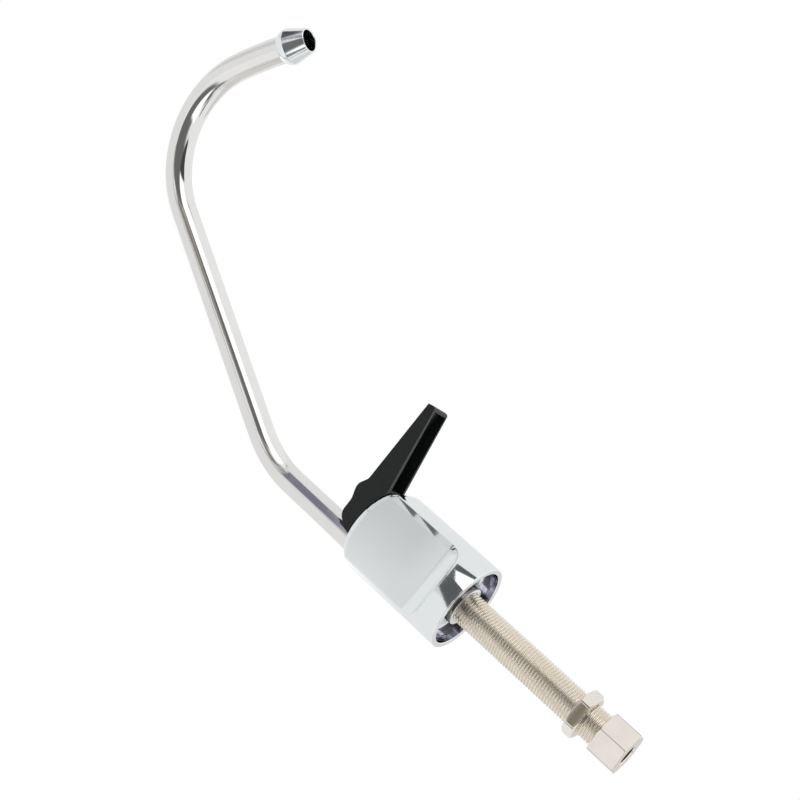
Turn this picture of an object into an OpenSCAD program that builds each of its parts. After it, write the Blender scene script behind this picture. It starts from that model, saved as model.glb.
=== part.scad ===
// Drinking water filter tap with a pressed lever and a swinging spout.
// Millimetres, +Z up, origin at the centre of the base rim on the worktop.
// The lever and the spout reach forward, along -Y.

/* [Body] */
// outside diameter of the round body
body_dia = 31.5; // [28:0.5:36]
// thickness of the skirt at the base
base_wall = 1.8; // [1.2:0.1:3]
// depth of the hollow under the base
hollow_depth = 6; // [4:0.2:6.6]
// distance between the two side flats
flat_span = 17.2; // [16:0.2:20]
// height of the shoulder's outer edge
shoulder_height = 7.6; // [7:0.2:9]
// fall of the shoulder towards the outside, degrees
shoulder_slope = 18; // [8:1:24]
// radius of the cove at the foot of each flat
cove_radius = 4; // [2:0.2:5]
// height of the domed top
crown_height = 46.7; // [45.6:0.1:48]
// radius of the domed top
crown_radius = 27.7; // [25:0.1:32]
// centre of the domed top behind the body's axis
crown_back = 1.6; // [1.2:0.1:2]
// radius of the rounded edge beyond the body's own radius
edge_reach = 1.3; // [1.2:0.1:2]
// centre of the rounded edge below the domed top
edge_drop = 15.8; // [15:0.1:16.6]
// rounded edge's centre behind the body's axis
edge_back = 0.3; // [0.1:0.1:0.6]
// stretch of the rounded edge across the body
edge_spread = 1.6; // [1.2:0.05:2]

/* [Valve] */
// shank's upper end below the domed top
shank_depth = 33.7; // [32.8:0.1:34.6]
// thickness of the brass seat
seat_thick = 2; // [1.4:0.1:2.4]
// height of the raised lip on the seat
seat_lip = 0.6; // [0.4:0.1:0.8]
// opening through the seat
seat_hole_dia = 4; // [3.6:0.1:4.4]
// width of the lip round the opening
seat_lip_width = 0.7; // [0.4:0.1:1]
// diameter of the valve chamber
chamber_dia = 10; // [9.6:0.1:10.4]
// chamber's roof below the domed top
chamber_depth = 21.7; // [20.8:0.1:22]
// diameter of the rubber seat washer
washer_dia = 6.6; // [6:0.1:7.4]
// thickness of the rubber seat washer
washer_thick = 2.2; // [1.8:0.1:2.4]
// head diameter of the washer's screw
screw_head_dia = 3; // [2.6:0.1:3.2]
// head height of the washer's screw
screw_head_height = 0.9; // [0.6:0.1:1.1]
// thread diameter of the washer's screw
screw_dia = 1.6; // [1.2:0.1:1.8]
// thread length above the washer
screw_grip = 1.8; // [1.2:0.1:2.4]
// diameter of the valve stem
stem_dia = 3; // [2.8:0.1:3.2]
// diameter of the stem's foot flange
flange_dia = 8; // [7.2:0.1:8.6]
// thickness of the stem's foot flange
flange_thick = 1.2; // [0.8:0.1:1.6]
// diameter of the stem's guide bush
guide_dia = 8.4; // [7.8:0.1:8.8]
// length of the stem's guide bush
guide_length = 4; // [3:0.1:4.4]
// section of the stem's seal ring
stem_seal_section = 1.4; // [1.2:0.1:1.5]
// diameter of the stem's threaded upper end
spigot_dia = 1.9; // [1.5:0.1:2]
// length of the stem's threaded upper end
spigot_length = 2.6; // [2:0.1:3]
// wire diameter of the return spring
spring_wire = 0.6; // [0.4:0.05:0.7]
// mean diameter of the return spring
spring_dia = 6.4; // [5.4:0.1:7]
// number of curls in the return spring
spring_turns = 4; // [3:1:4]
// diameter of the passage from the chamber to the spout
passage_dia = 3.2; // [2.4:0.1:3.4]

/* [Spout] */
// outside diameter of the spout tube
tube_dia = 9.525; // [9:0.025:10]
// wall of the spout tube
tube_wall = 0.9; // [0.7:0.05:1.2]
// spout's axis behind the body's axis
spout_back = 8.65; // [8.4:0.05:9.2]
// turn of the spout from straight ahead, degrees
spout_swing = -14; // [-180:1:180]
// straight rise of the spout above the domed top
riser_length = 29.3; // [14:0.1:50]
// angle of the lower bend, degrees
lower_bend = 30; // [15:1:45]
// centre line radius of the lower bend
lower_radius = 43; // [20:1:60]
// straight length between the bends
middle_length = 87.4; // [60:0.2:120]
// angle of the upper bend, degrees
upper_bend = 101; // [80:0.5:130]
// centre line radius of the upper bend
upper_radius = 36.2; // [25:0.2:45]
// angle of the slight curve behind the nozzle, degrees
tail_bend = 5.6; // [2:0.2:12]
// length of the slight curve behind the nozzle
tail_length = 17.5; // [10:0.5:30]
// straight length through the nozzle to the outlet's face
end_length = 13.2; // [13:0.2:20]
// depth of the spout's socket below the domed top
socket_depth = 15.5; // [15:0.1:15.6]
// length of the spout's foot below the tube
foot_length = 7.6; // [7.4:0.1:8]
// length of the foot's spigot inside the tube
foot_spigot = 4; // [3:0.2:6]
// wall of the foot round its passage
foot_wall = 1; // [0.8:0.05:1.2]
// section of the spout's two seal rings
spout_seal_section = 1.4; // [1.2:0.1:1.6]
// height of the lower seal above the foot's end
seal_low = 1.5; // [1.2:0.1:1.6]
// height of the upper seal above the foot's end
seal_high = 3.7; // [3.4:0.1:3.8]
// height of the retaining clip above the foot's end
clip_rise = 5.9; // [5.6:0.1:6]
// wire thickness of the retaining clip
clip_thick = 0.9; // [0.7:0.1:1]
// bite of the clip into the foot and into the body
clip_bite = 0.6; // [0.4:0.05:0.7]
// opening in the clip
clip_gap = 3; // [2:0.2:5]

/* [Nozzle] */
// widest diameter of the nozzle
nozzle_dia = 12.5; // [11.6:0.1:14]
// diameter of the nozzle's outlet face
nozzle_end_dia = 8.6; // [8.2:0.1:10]
// diameter of the outlet
outlet_dia = 7.3; // [6:0.1:7.6]
// length of the nozzle's cone
cone_length = 7.6; // [6.6:0.1:9]
// radius of the rounded shoulder behind the cone
nozzle_shoulder = 5; // [3:0.1:5.6]
// depth of the outlet in front of the tube's end
nozzle_lip = 6; // [5:0.1:7]

/* [Lever] */
// width of the lever at its heel
heel_width = 12.8; // [12.2:0.1:14]
// width of the lever at its tip
tip_width = 11.8; // [9:0.1:12]
// reach of the tip in front of the body's axis
lever_reach = 42.9; // [34:0.1:52]
// arm's top above the domed top
arm_rise = 5.5; // [5.2:0.1:7]
// thickness of the tip
tip_thick = 3.2; // [2.4:0.1:4]
// set-back of the tip's top edge behind its nose
tip_slant = 0.4; // [0:0.1:1]
// radius of the tip's lower corner
nose_round = 1.2; // [0.6:0.1:1.4]
// thickness of the arm's side and tip walls round its hollow underside
arm_wall = 1; // [0.8:0.1:1.4]
// thickness of the arm's top over its hollow underside
arm_roof = 1.2; // [1:0.1:1.6]
// end of the hollow underside in front of the rocking edge
hollow_stop = 1; // [0.8:0.1:2]
// rocking edge of the lever below the domed top
rock_drop = 3.2; // [2.6:0.1:3.4]
// rocking edge in front of the body's axis
rock_front = 11.5; // [11:0.1:12]
// gap between the lever's saddle and the dome
saddle_gap = 0.6; // [0.4:0.05:0.9]
// finger bump in front of the body's axis
bump_front = 6.9; // [5:0.1:8]
// rise of the finger bump above the arm
bump_rise = 1.8; // [1:0.1:3]
// run of the bump's front slope
bump_front_run = 4.7; // [3:0.1:6]
// run of the bump's back slope
bump_back_run = 5.6; // [4:0.1:7]
// rise of the heel's top above the arm
heel_rise = 0.4; // [0.2:0.05:1]
// reach of the heel behind the body's axis, at the bottom
heel_back = 7.9; // [7.2:0.1:8.4]
// reach of the heel behind the body's axis, at the top
heel_top_back = 5.6; // [5:0.1:6]
// radius of the heel's upper corner
heel_round = 4; // [2:0.1:4.4]
// gap between the lever's fork and the spout
fork_gap = 0.5; // [0.4:0.05:0.7]
// diameter of the lever's pin
pin_dia = 1.5; // [1.2:0.1:1.6]
// length of the lever's pin
pin_length = 10; // [8:0.2:11]
// height of the pin above the dome
pin_rise = 2.4; // [2.2:0.1:2.6]
// thickness of the stem's eye
eye_thick = 2.8; // [2.4:0.1:3]
// material round the pin in the stem's eye
eye_wall = 0.7; // [0.6:0.05:0.8]
// play of the pin along the stem's eye
eye_play = 0.85; // [0.8:0.05:0.9]

/* [Shank] */
// outside diameter of the threaded shank
thread_dia = 11.11; // [10:0.01:11.5]
// pitch of the thread, 24 turns to the inch
thread_pitch = 1.058; // [0.8:0.001:1.3]
// depth of the thread
thread_depth = 0.5; // [0.3:0.05:0.65]
// share of the pitch that each flat crest and root takes
thread_flat = 0.2; // [0.1:0.05:0.35]
// length of the shank below the worktop face
shank_drop = 60; // [58:1:80]
// water passage through the shank
shank_bore = 4.5; // [4.2:0.1:5]
// outside diameter of the collar that locks the shank
collar_dia = 14.2; // [13:0.1:15]
// height of the collar's lower face
collar_foot = 0.9; // [0.4:0.1:2]
// section of the shank's seal ring
shank_seal_section = 1; // [0.8:0.1:1.2]
// seal ring below the shank's upper end
shank_seal_drop = 2.6; // [2:0.1:3]

/* [Nuts] */
// locknut, distance across the flats
locknut_span = 14.3; // [14:0.1:17]
// locknut thickness
locknut_thick = 4.1; // [3:0.1:6]
// locknut's upper face below the worktop face
locknut_drop = 46; // [20:1:47]
// compression nut, distance across the flats
nut_span = 13.5; // [13.2:0.1:16]
// compression nut length
nut_length = 9.8; // [9:0.1:12]
// thread overlap of the compression nut on the shank
nut_overlap = 4.3; // [3:0.1:5]
// thickness of the compression nut's closed end
nut_web = 2.2; // [1.8:0.1:2.6]
// turn of the compression nut, degrees
nut_turn = 13; // [0:1:60]
// diameter of the supply tube's socket
supply_dia = 6.5; // [6.4:0.05:6.7]
// depth of the supply tube's socket in the shank
supply_depth = 12; // [8:0.5:20]
// wall of the compression sleeve
sleeve_wall = 1.2; // [0.8:0.05:1.4]

/* [Fits] */
// clearance of turning and sliding fits, each side
running = 0.06; // [0.03:0.01:0.09]
// clearance of fixed fits, each side
snug = 0.02; // [0.01:0.01:0.03]
// gap between the closed washer and its seat
seat_gap = 0.1; // [0.05:0.05:0.2]
// edge break on the nuts
chamfer = 0.5; // [0.3:0.1:0.8]

/* [Hidden] */
$fn = 96;
eps = 0.5;
lap = 0.5;
seam = 0.01;
big = 200;
hex_sides = 6;
body_r = body_dia / 2;
flat_x = flat_span / 2;
hollow_r = body_r - base_wall;
crown_z = crown_height - crown_radius;
edge_height = crown_height - edge_drop;
shank_top = crown_height - shank_depth;
chamber_top = crown_height - chamber_depth;
socket_floor = crown_height - socket_depth;
riser_height = crown_height + riser_length;
arm_top = crown_height + arm_rise;
rock_height = crown_height - rock_drop;
thread_r = thread_dia / 2;
chamber_r = chamber_dia / 2;
stem_r = stem_dia / 2;
tube_r = tube_dia / 2;
tube_in = tube_r - tube_wall;
socket_r = tube_r + running;
tail_radius = tail_length * 180 / (tail_bend * PI);

// valve stack, from the shank upwards
seat_top = shank_top + seat_thick;
lip_top = seat_top + seat_lip;
washer_foot = lip_top + seat_gap;
washer_top = washer_foot + washer_thick;
flange_top = washer_top + flange_thick;
guide_top = chamber_top + guide_length;
seal_pocket_r = stem_r + stem_seal_section;
seal_pocket_top = guide_top + stem_seal_section + 2 * running;
spring_low = flange_top + spring_wire / 2 + running;
spring_high = chamber_top - spring_wire / 2 - running;

// dome height above the stem, where the lever is pinned
dome_at_stem = crown_z + sqrt(pow(crown_radius, 2) - pow(crown_back, 2));
pin_r = pin_dia / 2;
pin_z = dome_at_stem + pin_rise;
eye_half_height = pin_r + running + eye_wall;
hub_foot = dome_at_stem - spigot_length;

// spout stack, from the socket's floor upwards
foot_low = socket_floor + 4 * running;
tube_low = foot_low + foot_length;
foot_r = tube_r - snug;
foot_in = tube_in - snug - foot_wall;
clip_z = foot_low + clip_rise;

// where the shoulder and its cove meet
shoulder_at_cove = shoulder_height + (body_r - flat_x - cove_radius) * tan(shoulder_slope);
cove_z = shoulder_at_cove + cove_radius / cos(shoulder_slope);
cove_meet_x = flat_x + cove_radius - cove_radius * sin(shoulder_slope);
cove_meet_z = cove_z - cove_radius * cos(shoulder_slope);

// nuts
nut_top = -shank_drop + nut_overlap;
nut_low = nut_top - nut_length;
supply_r = supply_dia / 2;
sleeve_r = supply_r + sleeve_wall;
sleeve_top = -shank_drop - 2 * running;
sleeve_low = nut_low + nut_web + 2 * running;

chrome = [0.80, 0.82, 0.84];
nickel = [0.78, 0.73, 0.65];
brass = [0.80, 0.66, 0.36];
black = [0.07, 0.075, 0.075];
rubber = [0.10, 0.10, 0.11];
steel = [0.66, 0.67, 0.69];
white = [0.90, 0.90, 0.87];

// upright round bar between two heights
module bar(r, low, high) {
    translate([0, 0, low])
        cylinder(r = r, h = high - low);
}

// upright tube between two heights
module pipe(outer, inner, low, high) {
    difference() {
        bar(outer, low, high);
        bar(inner, low - eps, high + eps);
    }
}

// seal ring lying round the Z axis
module ring(mid, section, z) {
    translate([0, 0, z])
        rotate_extrude()
            translate([mid, 0])
                circle(d = section);
}

// one side flat with the cove at its foot, as seen from the front
module flat_outline() {
    polygon([
        [flat_x, cove_z],
        [cove_meet_x, cove_meet_z],
        [body_r, shoulder_height],
        [body_r + eps, shoulder_height - eps * tan(shoulder_slope)],
        [body_r + eps, crown_height + eps],
        [flat_x, crown_height + eps]
    ]);
    translate([flat_x + cove_radius, cove_z])
        circle(r = cove_radius);
}

module flat_cut() {
    rotate([90, 0, 0])
        translate([0, 0, -body_r - eps])
            linear_extrude(body_dia + 2 * eps)
                flat_outline();
}

// round bar under a shallow dome, its edge rounded by a smaller ball that is stretched sideways
module body_outside() {
    intersection() {
        bar(body_r, 0, crown_height + eps);
        translate([0, crown_back, crown_z])
            sphere(r = crown_radius);
        union() {
            bar(body_r + eps, -eps, edge_height);
            translate([0, edge_back, edge_height])
                scale([edge_spread, 1, 1])
                    sphere(r = body_r + edge_reach);
        }
    }
}

// slanted way from the valve chamber up to the spout's socket
module passage() {
    run = spout_back - chamber_r;
    rise = socket_floor - flange_top;
    lean = atan(run / rise);
    translate([0, chamber_r, flange_top])
        rotate([-lean, 0, 0])
            cylinder(d = passage_dia, h = rise / cos(lean));
}

module body() {
    color(chrome)
        difference() {
            body_outside();
            flat_cut();
            mirror([1, 0, 0])
                flat_cut();
            bar(hollow_r, -eps, hollow_depth);
            bar(thread_r + snug, -eps, shank_top);
            bar(chamber_r, 0, chamber_top);
            bar(guide_dia / 2, 0, guide_top);
            bar(seal_pocket_r, 0, seal_pocket_top);
            bar(stem_r + running, 0, crown_height + eps);
            passage();
            translate([0, spout_back, 0]) {
                bar(socket_r, socket_floor, crown_height + eps);
                bar(socket_r + clip_bite, clip_z - snug, clip_z + clip_thick + snug);
            }
        }
}

// one turn of the thread as [depth, share of the pitch], drawn as a closed ring
thread_flank = (1 - 2 * thread_flat) / 2;
thread_form = [
    [thread_depth, 0],
    [thread_depth, thread_flat],
    [0, thread_flat + thread_flank],
    [0, 2 * thread_flat + thread_flank]
];
thread_turns = floor((shank_drop + hollow_depth) / thread_pitch);
shank_side = concat(
    [[0, -shank_drop]],
    [for (turn = [0 : thread_turns - 1], point = thread_form)
        [thread_r - point[0], -shank_drop + (turn + point[1]) * thread_pitch]],
    [[thread_r, shank_top], [0, shank_top]]
);

module shank() {
    color(nickel)
        difference() {
            rotate_extrude()
                polygon(shank_side);
            bar(shank_bore / 2, -shank_drop - eps, shank_top + eps);
            bar(supply_r, -shank_drop - eps, -shank_drop + supply_depth);
            translate([0, 0, shank_top - shank_seal_drop])
                rotate_extrude()
                    translate([thread_r - shank_seal_section, -shank_seal_section / 2])
                        square([shank_seal_section + eps, shank_seal_section]);
        }
}

module shank_collar() {
    color(chrome)
        pipe(collar_dia / 2, thread_r + snug, collar_foot, hollow_depth - snug);
}

module shank_seal() {
    color(rubber)
        ring(thread_r - shank_seal_section / 2, shank_seal_section - snug,
             shank_top - shank_seal_drop);
}

module valve_seat() {
    color(brass) {
        pipe(chamber_r - snug, seat_hole_dia / 2, shank_top + snug, seat_top);
        pipe(seat_hole_dia / 2 + seat_lip_width, seat_hole_dia / 2, seat_top - snug, lip_top);
    }
}

module valve_stem() {
    color(brass)
        difference() {
            union() {
                bar(flange_dia / 2, washer_top, flange_top);
                bar(stem_r, washer_top, hub_foot);
                bar(spigot_dia / 2, hub_foot - eps, dome_at_stem - snug);
            }
            bar(screw_dia / 2 + snug, washer_top - eps, washer_top + screw_grip + snug);
        }
}

// slotted eye that the lever's pin lifts
module stem_eye() {
    back = pin_r + running + eye_wall;
    front = back + eye_play;
    color(brass)
        difference() {
            union() {
                bar(stem_r, hub_foot + snug, pin_z - pin_r - running);
                intersection() {
                    translate([-eye_thick / 2, -front, dome_at_stem + pin_rise - eye_half_height])
                        cube([eye_thick, front + back, 2 * eye_half_height]);
                    bar(front, hub_foot, pin_z + eye_half_height);
                }
            }
            bar(spigot_dia / 2 + snug, hub_foot - eps, dome_at_stem);
            translate([0, 0, pin_z])
                rotate([0, 90, 0])
                    cylinder(r = pin_r + running, h = big, center = true);
            translate([0, -eye_play, pin_z])
                rotate([0, 90, 0])
                    cylinder(r = pin_r + running, h = big, center = true);
            translate([-eye_thick, -eye_play, pin_z - pin_r - running])
                cube([2 * eye_thick, eye_play, 2 * (pin_r + running)]);
        }
}

module seat_washer() {
    color(rubber)
        pipe(washer_dia / 2, screw_dia / 2 + snug, washer_foot, washer_top - snug);
}

module washer_screw() {
    color(steel) {
        bar(screw_head_dia / 2, washer_foot - screw_head_height - snug, washer_foot - snug);
        bar(screw_dia / 2, washer_foot - screw_head_height, washer_top + screw_grip);
    }
}

// return spring: one tube swept along a helix
curl_rings = 8;
wire_sides = 6;
spring_rings = spring_turns * curl_rings;
function spring_point(i, j) =
    let (turn = 360 * i / curl_rings)
    let (side = 360 * j / wire_sides)
    let (r = spring_dia / 2 + spring_wire / 2 * cos(side))
    let (z = spring_low + (spring_high - spring_low) * i / spring_rings)
    [r * cos(turn), r * sin(turn), z + spring_wire / 2 * sin(side)];
spring_points = [
    for (i = [0:spring_rings])
        for (j = [0:wire_sides - 1])
            spring_point(i, j)
];
spring_faces = concat(
    [[for (j = [0:wire_sides - 1]) j]],
    [for (i = [0:spring_rings - 1])
        for (j = [0:wire_sides - 1])
            let (k = (j + 1) % wire_sides)
            [i * wire_sides + j, (i + 1) * wire_sides + j,
             (i + 1) * wire_sides + k, i * wire_sides + k]],
    [[for (j = [wire_sides - 1:-1:0]) spring_rings * wire_sides + j]]
);
spring_gap = min([
    for (i = [0:spring_rings - curl_rings])
        for (j = [0:wire_sides - 1])
            for (k = [0:wire_sides - 1])
                norm(spring_point(i, j) - spring_point(i + curl_rings, k))
]);
echo(least_gap_between_spring_curls = spring_gap);

module return_spring() {
    color(steel)
        polyhedron(points = spring_points, faces = spring_faces);
}

module stem_guide() {
    color(white)
        pipe(guide_dia / 2 - snug, stem_r + running, chamber_top, guide_top - snug);
}

module stem_seal() {
    color(rubber)
        ring(stem_r + running / 2 + stem_seal_section / 2, stem_seal_section - running,
             guide_top + running + stem_seal_section / 2);
}

// lever's top line: a finger bump that runs out into the heel
function bump_share(y) =
    let (run = y < -bump_front ? bump_front_run : bump_back_run)
    let (part = min(1, abs(y + bump_front) / run))
    pow(cos(90 * part), 2);
function lever_top(y) =
    let (behind = y > -bump_front)
    let (floor_rise = behind ? heel_rise : 0)
    arm_top + floor_rise + (bump_rise - floor_rise) * bump_share(y);

top_steps = 24;
bump_start = -bump_front - bump_front_run;
bump_end = heel_top_back - heel_round;
heel_steps = 8;
heel_slant = atan((heel_back - heel_top_back) / (arm_top + heel_rise - rock_height));
nose_steps = 6;
under_slant = atan((arm_top - tip_thick - rock_height) / (lever_reach - rock_front));
under_run = (lever_reach - rock_front - nose_round * (1 - sin(under_slant))) / cos(under_slant);
nose_z = rock_height + under_run * sin(under_slant) + nose_round * cos(under_slant);
lever_side = concat(
    [[-lever_reach + tip_slant, arm_top]],
    [for (i = [0:top_steps])
        let (y = bump_start + (bump_end - bump_start) * i / top_steps)
        [y, lever_top(y)]],
    [for (i = [1:heel_steps])
        let (a = (90 - heel_slant) * i / heel_steps)
        [bump_end + heel_round * sin(a), arm_top + heel_rise - heel_round * (1 - cos(a))]],
    [[heel_back, rock_height],
     [-rock_front, rock_height]],
    [for (i = [0:nose_steps])
        let (a = under_slant + (90 - under_slant) * i / nose_steps)
        [-lever_reach + nose_round * (1 - sin(a)), nose_z - nose_round * cos(a)]]
);

// room inside the lever for the stem's eye, with its travel
module eye_room() {
    front = pin_r + 2 * running + eye_wall + eye_play + fork_gap / 2;
    back = pin_r + running + eye_wall + eye_play + fork_gap;
    wide = eye_thick / 2 + fork_gap;
    translate([-wide, -front, rock_height - eps])
        cube([2 * wide, front + back, pin_z + eye_half_height + fork_gap - rock_height + eps]);
}

// hollow underside of the arm, between its side walls, tip and roof
module arm_hollow() {
    width = tip_width - 2 * arm_wall;
    front = -lever_reach + tip_slant + arm_wall;
    back = -rock_front - hollow_stop;
    translate([-width / 2, front, 0])
        cube([width, back - front, arm_top - arm_roof]);
}

module lever() {
    color(black)
        difference() {
            intersection() {
                rotate([90, 0, 90])
                    translate([0, 0, -heel_width])
                        linear_extrude(2 * heel_width)
                            polygon(lever_side);
                linear_extrude(big)
                    polygon([
                        [-heel_width / 2, heel_back + eps],
                        [-heel_width / 2, -rock_front],
                        [-tip_width / 2, -lever_reach],
                        [tip_width / 2, -lever_reach],
                        [heel_width / 2, -rock_front],
                        [heel_width / 2, heel_back + eps]
                    ]);
            }
            translate([0, crown_back, crown_z])
                sphere(r = crown_radius + saddle_gap);
            translate([0, spout_back, 0])
                bar(tube_r + fork_gap, 0, big);
            arm_hollow();
            eye_room();
            translate([-pin_length / 2, 0, pin_z])
                rotate([0, 90, 0])
                    cylinder(r = pin_r + snug, h = big);
        }
}

module lever_pin() {
    color(steel)
        translate([-pin_length / 2 + snug, 0, pin_z])
            rotate([0, 90, 0])
                cylinder(r = pin_r, h = pin_length - snug);
}

// carries its children from the spout's socket, turned to the spout's side
module at_spout() {
    translate([0, spout_back, 0])
        rotate([0, 0, spout_swing])
            children();
}

// bend of a round bar in the plane of the spout, from straight up
module bend(r, radius, angle) {
    translate([0, -radius, 0])
        rotate([0, 90, 0])
            rotate([0, 0, 90])
                rotate_extrude(angle = angle)
                    translate([radius, 0])
                        circle(r = r);
}

// moves to the end of a bend
module after_bend(radius, angle) {
    translate([0, -radius * (1 - cos(angle)), radius * sin(angle)])
        rotate([angle, 0, 0])
            children();
}

// stations along the spout's run
module to_lower() {
    translate([0, 0, riser_height])
        children();
}

module to_middle() {
    to_lower()
        after_bend(lower_radius, lower_bend)
            children();
}

module to_upper() {
    to_middle()
        translate([0, 0, middle_length])
            children();
}

module to_tail() {
    to_upper()
        after_bend(upper_radius, upper_bend)
            children();
}

module to_end() {
    to_tail()
        after_bend(tail_radius, tail_bend)
            children();
}

// whole run of the spout as a round bar; each straight laps a little over its bends
module spout_run(r, low, tail) {
    bar(r, low, riser_height + lap);
    to_lower()
        bend(r - seam, lower_radius, lower_bend);
    to_middle()
        bar(r, -lap, middle_length + lap);
    to_upper()
        bend(r - seam, upper_radius, upper_bend);
    to_tail()
        bar(r, -lap, lap);
    to_tail()
        bend(r - seam, tail_radius, tail_bend);
    to_end()
        bar(r, -lap, end_length + tail);
}

// carries its children to the outlet's face, +Z out of the outlet
module at_outlet() {
    at_spout()
        to_end()
            translate([0, 0, end_length])
                children();
}

module spout_tube() {
    color(chrome)
        at_spout()
            difference() {
                spout_run(tube_r, tube_low, -nozzle_lip);
                spout_run(tube_in, tube_low - eps, 0);
            }
}

module seal_groove(z) {
    translate([0, 0, z])
        rotate_extrude()
            translate([foot_r - spout_seal_section / 2, -spout_seal_section / 2 - snug])
                square([foot_r, spout_seal_section + 2 * snug]);
}

module spout_foot() {
    color(brass)
        at_spout()
            difference() {
                union() {
                    bar(foot_r, foot_low, tube_low - snug);
                    bar(tube_in - snug, tube_low - eps, tube_low + foot_spigot);
                }
                bar(foot_in, foot_low - eps, tube_low + foot_spigot + eps);
                seal_groove(foot_low + seal_low);
                seal_groove(foot_low + seal_high);
                translate([0, 0, clip_z - running])
                    rotate_extrude()
                        translate([foot_r - clip_bite - running, 0])
                            square([foot_r, clip_thick + 2 * running]);
            }
}

// seal ring in a groove of the spout's foot
module foot_seal(z) {
    color(rubber)
        at_spout()
            translate([0, 0, foot_low + z])
                rotate_extrude()
                    intersection() {
                        translate([foot_r, 0])
                            circle(d = spout_seal_section);
                        translate([0, -spout_seal_section])
                            square([socket_r - running / 2, 2 * spout_seal_section]);
                    }
}

module spout_seal_lower() {
    foot_seal(seal_low);
}

module spout_seal_upper() {
    foot_seal(seal_high);
}

module spout_clip() {
    color(steel)
        translate([0, spout_back, 0])
            difference() {
                pipe(socket_r + clip_bite - snug, foot_r - clip_bite, clip_z, clip_z + clip_thick);
                translate([-clip_gap / 2, 0, 0])
                    cube([clip_gap, tube_dia, big]);
            }
}

// cone with a rounded shoulder, outlet face at z = 0 and +Z out of the outlet
module nozzle() {
    wide = nozzle_dia / 2;
    back = cone_length + nozzle_shoulder;
    color(chrome)
        at_outlet()
            difference() {
                rotate_extrude()
                    polygon([
                        [0, 0],
                        [nozzle_end_dia / 2, 0],
                        [wide, -cone_length],
                        [wide, -back],
                        [0, -back]
                    ]);
                rotate_extrude()
                    translate([wide - nozzle_shoulder, -cone_length])
                        difference() {
                            translate([0, -2 * nozzle_shoulder])
                                square(2 * nozzle_shoulder);
                            circle(r = nozzle_shoulder);
                        }
                bar(tube_r + snug, -big, -nozzle_lip + snug);
                bar(outlet_dia / 2, -nozzle_lip, eps);
            }
}

// hexagon prism with broken corners at both ends
module hex_block(span, low, high) {
    round_r = span / 2 / cos(180 / hex_sides);
    intersection() {
        translate([0, 0, low])
            cylinder(r = round_r, h = high - low, $fn = hex_sides);
        rotate_extrude()
            polygon([
                [0, low],
                [round_r - chamfer, low],
                [round_r + chamfer, low + chamfer],
                [round_r + chamfer, high - chamfer],
                [round_r - chamfer, high],
                [0, high]
            ]);
    }
}

module locknut() {
    color(nickel)
        difference() {
            rotate([0, 0, 90])
                hex_block(locknut_span, -locknut_drop - locknut_thick, -locknut_drop);
            bar(thread_r + running, -big, 0);
        }
}

module compression_nut() {
    color(nickel)
        difference() {
            rotate([0, 0, nut_turn])
                hex_block(nut_span, nut_low, nut_top);
            bar(thread_r + running, nut_low + nut_web, 0);
            bar(supply_r, -big, 0);
        }
}

// tapered ring that grips the supply tube
module compression_sleeve() {
    color(brass)
        rotate_extrude()
            polygon([
                [supply_r, sleeve_low],
                [sleeve_r - sleeve_wall / 2, sleeve_low],
                [sleeve_r, sleeve_low + sleeve_wall],
                [sleeve_r, sleeve_top - sleeve_wall],
                [sleeve_r - sleeve_wall / 2, sleeve_top],
                [supply_r, sleeve_top]
            ]);
}

body();
shank();
shank_collar();
shank_seal();
valve_seat();
valve_stem();
stem_eye();
seat_washer();
washer_screw();
return_spring();
stem_guide();
stem_seal();
lever();
lever_pin();
spout_tube();
spout_foot();
spout_seal_lower();
spout_seal_upper();
spout_clip();
nozzle();
locknut();
compression_nut();
compression_sleeve();
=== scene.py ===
"""Drinking water filter tap: the looks of the packed model, laid out as an add-on."""
import math

import bmesh
import bpy
import numpy as np
from bpy.props import FloatProperty, FloatVectorProperty, IntProperty, PointerProperty
from mathutils import Matrix, Vector


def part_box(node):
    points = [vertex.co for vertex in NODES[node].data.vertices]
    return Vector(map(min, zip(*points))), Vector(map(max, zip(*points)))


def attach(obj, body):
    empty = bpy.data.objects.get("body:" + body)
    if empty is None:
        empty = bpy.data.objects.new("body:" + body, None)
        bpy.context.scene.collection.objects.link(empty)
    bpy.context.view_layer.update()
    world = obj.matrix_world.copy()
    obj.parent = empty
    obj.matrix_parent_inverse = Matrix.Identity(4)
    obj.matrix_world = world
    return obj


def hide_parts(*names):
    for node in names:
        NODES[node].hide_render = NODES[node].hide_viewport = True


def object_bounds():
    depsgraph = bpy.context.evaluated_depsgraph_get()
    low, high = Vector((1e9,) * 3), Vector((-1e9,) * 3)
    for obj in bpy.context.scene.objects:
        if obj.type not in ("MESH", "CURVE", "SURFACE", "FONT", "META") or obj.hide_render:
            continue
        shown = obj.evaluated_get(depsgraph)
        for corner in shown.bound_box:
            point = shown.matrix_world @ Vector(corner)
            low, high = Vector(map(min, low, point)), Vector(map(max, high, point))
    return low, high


bl_info = {
    "name": "Drinking Water Filter Tap",
    "version": (1, 0, 0),
    "blender": (4, 5, 0),
    "location": "View3D > Sidebar > Tap",
    "description": "Builds the visible pieces, finishes and studio of a filter tap",
    "category": "Object",
}

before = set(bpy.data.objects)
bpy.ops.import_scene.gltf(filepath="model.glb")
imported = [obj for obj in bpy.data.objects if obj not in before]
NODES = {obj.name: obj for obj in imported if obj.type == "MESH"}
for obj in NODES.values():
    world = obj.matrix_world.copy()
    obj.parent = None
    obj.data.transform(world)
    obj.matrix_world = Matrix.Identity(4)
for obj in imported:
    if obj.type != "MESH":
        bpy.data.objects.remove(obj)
CAD_BOX = [list(corner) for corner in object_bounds()]
MM = 0.001
# Room between pieces that fit into each other
PLAY = 0.02 * MM
# Round of the body's lower rim
RIM_ROUND = 0.35 * MM
# Edges that turn by more than this stay hard
SHARP = math.radians(32)


# Sizes and colours that a user would change


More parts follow.
